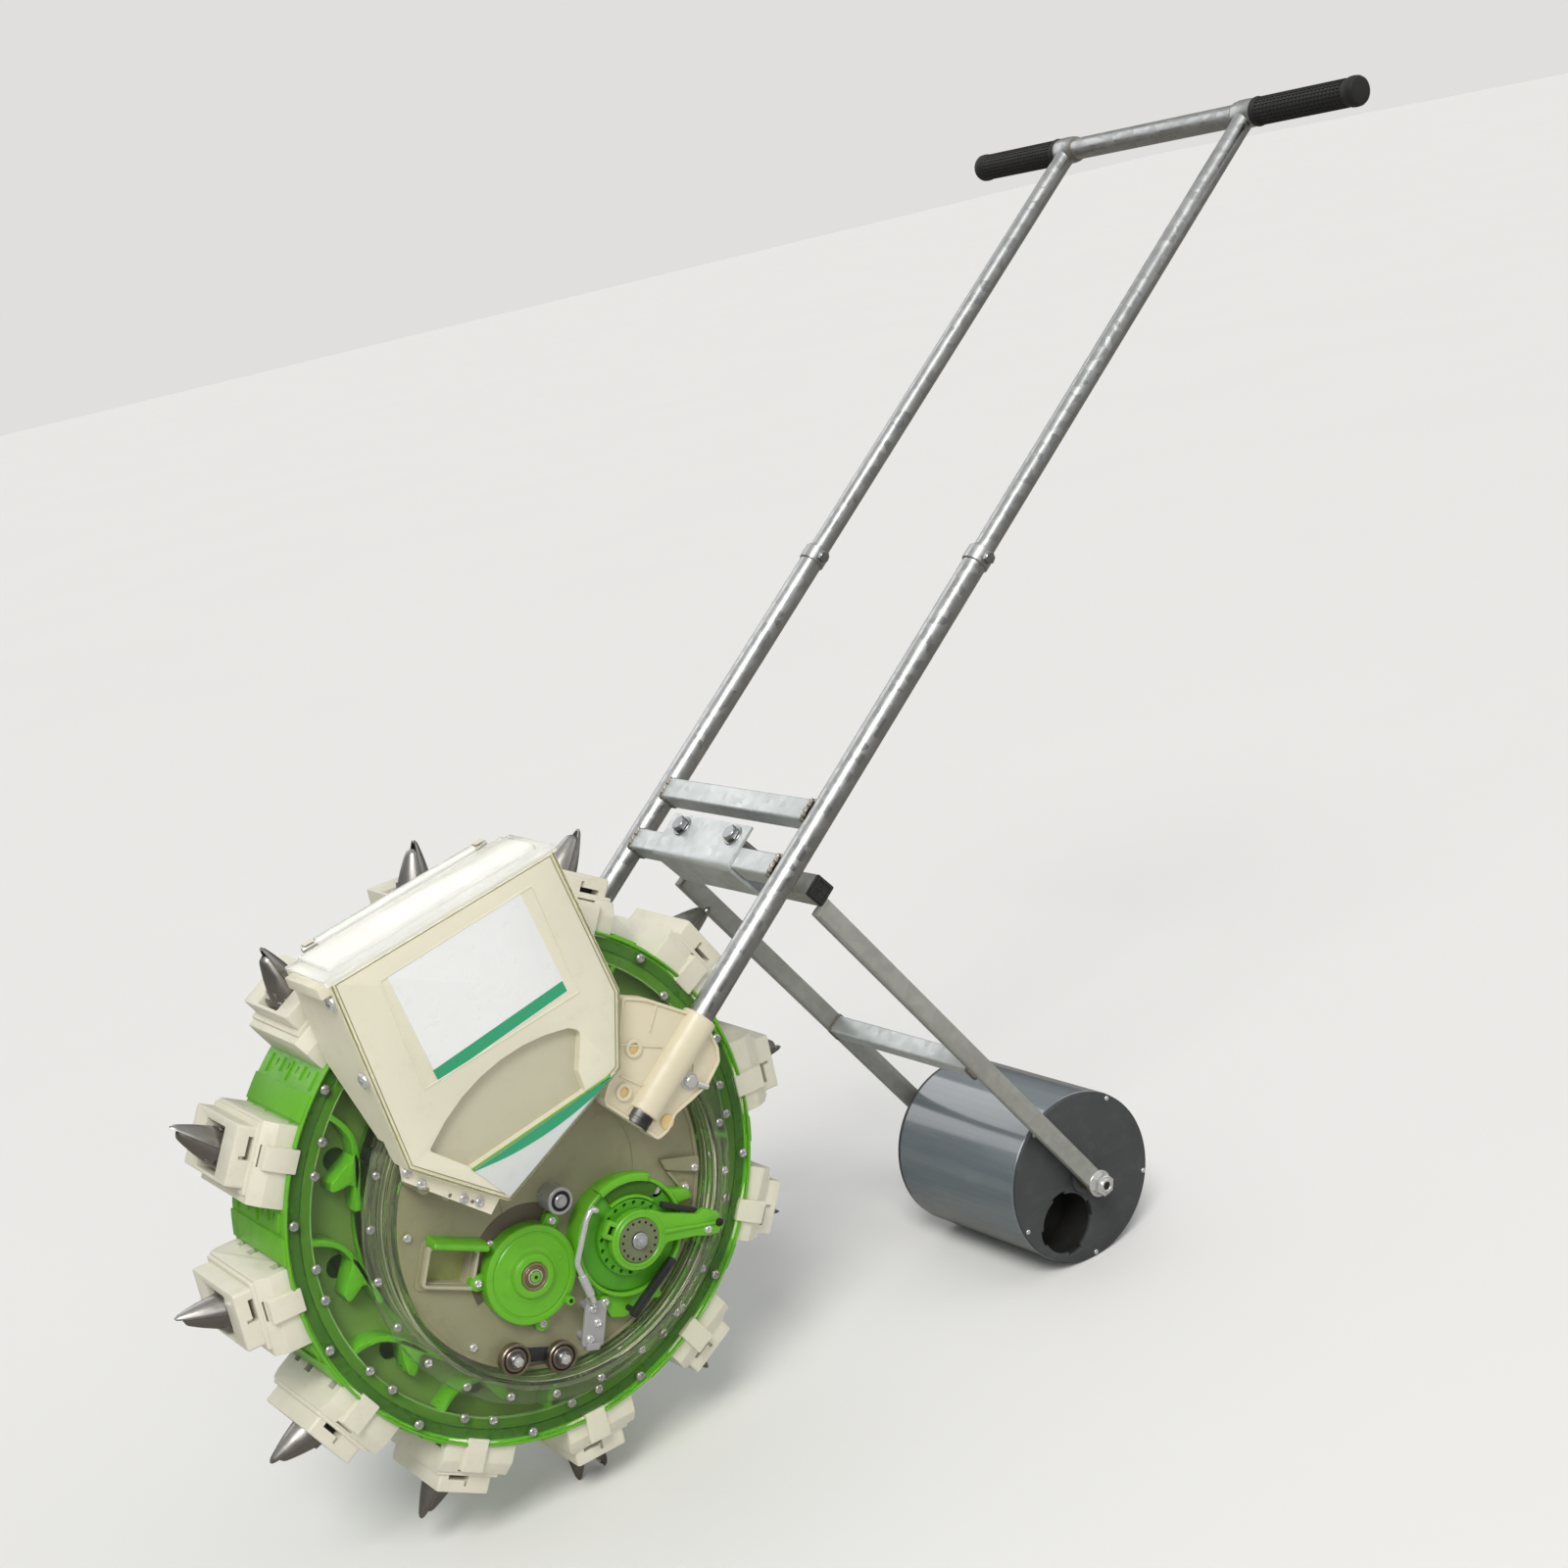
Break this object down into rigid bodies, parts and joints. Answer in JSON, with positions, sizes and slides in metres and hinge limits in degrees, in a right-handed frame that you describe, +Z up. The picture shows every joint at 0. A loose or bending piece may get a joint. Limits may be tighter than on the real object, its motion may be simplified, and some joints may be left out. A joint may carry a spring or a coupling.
{
  "type": "wheel seeder",
  "caption": "Push-type garden wheel seeder: ring drum with spring-closed duckbill beaks, side hopper, seed metering unit, long two-tube handle and trailing press roller.",
  "frame": {"origin": "on the floor under the middle of the bounding box", "axes": "+X back along the handle, from the drum towards the hand bar; +Y across, the hopper is on the -Y side; +Z up"},
  "size_m": [1.1968, 0.49, 0.9771],
  "materials": {
    "plate_plastic": "satin",
    "cream_plastic": "satin moulded",
    "green_plastic": "gloss moulded",
    "dark_green_plastic": "satin moulded",
    "clear_plastic": "clear gloss",
    "galvanised_steel": "galvanised, mottled",
    "bright_steel": "bright plated",
    "gear_steel": "satin",
    "zinc_steel": "zinc plated",
    "beak_steel": "dull plated",
    "grip_rubber": "matte",
    "black_plastic": "matte",
    "grey_pvc": "gloss",
    "cap_plastic": "satin"
  },
  "bodies": {
    "core": {"front_plate": "plate_plastic", "rear_plate": "plate_plastic", "tie_rod": "bright_steel", "stay_posts": "bright_steel", "hopper_tub": "cream_plastic", "hopper_panel": "cream_plastic", "lid_pin": "bright_steel", "gear_cover": "green_plastic", "metering_housing": "green_plastic", "metering_arm": "green_plastic", "bearings": "bright_steel", "brush_bar": "black_plastic", "brush_rod": "bright_steel", "clamp_plate": "zinc_steel", "window_frame": "cream_plastic", "window_hood": "green_plastic", "roller_studs": "bright_steel", "sockets": "cream_plastic", "lower_tubes": "galvanised_steel", "tube_clamps": "zinc_steel", "crossbars": "galvanised_steel", "clamp_bracket": "galvanised_steel", "bracket_bolts": "bright_steel", "press_frame": "galvanised_steel", "end_plugs": "black_plastic", "press_axle": "bright_steel", "plate_screws": "bright_steel"},
    "drum": {"drum_rim": "green_plastic", "drum_cover": "clear_plastic", "cover_collar": "clear_plastic", "seed_vanes": "green_plastic", "ring_gear": "dark_green_plastic", "duckbill_blocks": "cream_plastic", "fixed_beaks": "beak_steel", "drum_screws": "bright_steel"},
    "lid": {"hopper_lid": "clear_plastic"},
    "idler": {"idler_gear": "gear_steel"},
    "metering": {"metering_wheel": "dark_green_plastic", "metering_gear": "gear_steel"},
    "roller_front_left": {"roller_fl": "gear_steel"},
    "roller_front_right": {"roller_fr": "gear_steel"},
    "roller_rear_left": {"roller_rl": "gear_steel"},
    "roller_rear_right": {"roller_rr": "gear_steel"},
    "handle_top": {"upper_tubes": "galvanised_steel", "handlebar": "galvanised_steel", "grips": "grip_rubber"},
    "press": {"press_roller": "grey_pvc", "press_caps": "cap_plastic"},
    "jaw_01": {"jaw_01": "beak_steel"},
    "jaw_02": {"jaw_02": "beak_steel"},
    "jaw_03": {"jaw_03": "beak_steel"},
    "jaw_04": {"jaw_04": "beak_steel"},
    "jaw_05": {"jaw_05": "beak_steel"},
    "jaw_06": {"jaw_06": "beak_steel"},
    "jaw_07": {"jaw_07": "beak_steel"},
    "jaw_08": {"jaw_08": "beak_steel"},
    "jaw_09": {"jaw_09": "beak_steel"},
    "jaw_10": {"jaw_10": "beak_steel"},
    "jaw_11": {"jaw_11": "beak_steel"},
    "jaw_12": {"jaw_12": "beak_steel"}
  },
  "joints": [
    {"name": "drum_spin", "type": "hinge", "parent": "core", "child": "drum", "pos_m": [-0.31141, 0, 0.287], "axis": [0, 1, 0], "continuous": true},
    {"name": "metering_spin", "type": "hinge", "parent": "core", "child": "metering", "pos_m": [-0.2594, -0.07, 0.23296], "axis": [0, 1, 0], "continuous": true},
    {"name": "idler_spin", "type": "hinge", "parent": "core", "child": "idler", "pos_m": [-0.34779, -0.07, 0.23744], "axis": [0, 1, 0], "continuous": true},
    {"name": "roller_front_left_spin", "type": "hinge", "parent": "core", "child": "roller_front_left", "pos_m": [-0.37961, -0.092, 0.17786], "axis": [0, 1, 0], "continuous": true},
    {"name": "roller_front_right_spin", "type": "hinge", "parent": "core", "child": "roller_front_right", "pos_m": [-0.34036, -0.092, 0.1616], "axis": [0, 1, 0], "continuous": true},
    {"name": "roller_rear_left_spin", "type": "hinge", "parent": "core", "child": "roller_rear_left", "pos_m": [-0.37961, 0.092, 0.17786], "axis": [0, 1, 0], "continuous": true},
    {"name": "roller_rear_right_spin", "type": "hinge", "parent": "core", "child": "roller_rear_right", "pos_m": [-0.34036, 0.092, 0.1616], "axis": [0, 1, 0], "continuous": true},
    {"name": "press_spin", "type": "hinge", "parent": "core", "child": "press", "pos_m": [0.20859, 0, 0.08], "axis": [0, 1, 0], "continuous": true},
    {"name": "lid_hinge", "type": "hinge", "parent": "core", "child": "lid", "pos_m": [-0.3628, -0.062, 0.55443], "axis": [-0.9854, 0, -0.1701], "range_deg": [0, 100]},
    {"name": "handle_slide", "type": "slide", "parent": "core", "child": "handle_top", "axis": [0.7923, 0, 0.6101], "range_m": [-0.1, 0]},
    {"name": "jaw_01_hinge", "type": "hinge", "parent": "drum", "child": "jaw_01", "pos_m": [-0.29079, 0, 0.0404], "axis": [0, -1, 0], "range_deg": [-34, 2], "stiffness_Nm_per_rad": 0.4},
    {"name": "jaw_02_hinge", "type": "hinge", "parent": "drum", "child": "jaw_02", "pos_m": [-0.17025, 0, 0.08374], "axis": [0, -1, 0], "range_deg": [0, 36], "stiffness_Nm_per_rad": 0.4},
    {"name": "jaw_03_hinge", "type": "hinge", "parent": "drum", "child": "jaw_03", "pos_m": [-0.08753, 0, 0.18155], "axis": [0, -1, 0], "range_deg": [0, 36], "stiffness_Nm_per_rad": 0.4},
    {"name": "jaw_04_hinge", "type": "hinge", "parent": "drum", "child": "jaw_04", "pos_m": [-0.0648, 0, 0.30762], "axis": [0, -1, 0], "range_deg": [0, 36], "stiffness_Nm_per_rad": 0.4},
    {"name": "jaw_05_hinge", "type": "hinge", "parent": "drum", "child": "jaw_05", "pos_m": [-0.10815, 0, 0.42815], "axis": [0, -1, 0], "range_deg": [0, 36], "stiffness_Nm_per_rad": 0.4},
    {"name": "jaw_06_hinge", "type": "hinge", "parent": "drum", "child": "jaw_06", "pos_m": [-0.20596, 0, 0.51087], "axis": [0, -1, 0], "range_deg": [0, 36], "stiffness_Nm_per_rad": 0.4},
    {"name": "jaw_07_hinge", "type": "hinge", "parent": "drum", "child": "jaw_07", "pos_m": [-0.33202, 0, 0.5336], "axis": [0, -1, 0], "range_deg": [0, 36], "stiffness_Nm_per_rad": 0.4},
    {"name": "jaw_08_hinge", "type": "hinge", "parent": "drum", "child": "jaw_08", "pos_m": [-0.45256, 0, 0.49026], "axis": [0, -1, 0], "range_deg": [0, 36], "stiffness_Nm_per_rad": 0.4},
    {"name": "jaw_09_hinge", "type": "hinge", "parent": "drum", "child": "jaw_09", "pos_m": [-0.53528, 0, 0.39245], "axis": [0, -1, 0], "range_deg": [0, 36], "stiffness_Nm_per_rad": 0.4},
    {"name": "jaw_10_hinge", "type": "hinge", "parent": "drum", "child": "jaw_10", "pos_m": [-0.55801, 0, 0.26638], "axis": [0, -1, 0], "range_deg": [0, 36], "stiffness_Nm_per_rad": 0.4},
    {"name": "jaw_11_hinge", "type": "hinge", "parent": "drum", "child": "jaw_11", "pos_m": [-0.51466, 0, 0.14585], "axis": [0, -1, 0], "range_deg": [0, 36], "stiffness_Nm_per_rad": 0.4},
    {"name": "jaw_12_hinge", "type": "hinge", "parent": "drum", "child": "jaw_12", "pos_m": [-0.41685, 0, 0.06313], "axis": [0, -1, 0], "range_deg": [0, 36], "stiffness_Nm_per_rad": 0.4}
  ],
  "couplings": [
    {"joint": "metering_spin", "follows": "drum_spin", "ratio": 2.25},
    {"joint": "idler_spin", "follows": "drum_spin", "ratio": -4.7368},
    {"joint": "roller_front_left_spin", "follows": "drum_spin", "ratio": 10.923},
    {"joint": "roller_front_right_spin", "follows": "drum_spin", "ratio": 10.923},
    {"joint": "roller_rear_left_spin", "follows": "drum_spin", "ratio": 10.923},
    {"joint": "roller_rear_right_spin", "follows": "drum_spin", "ratio": 10.923}
  ]
}
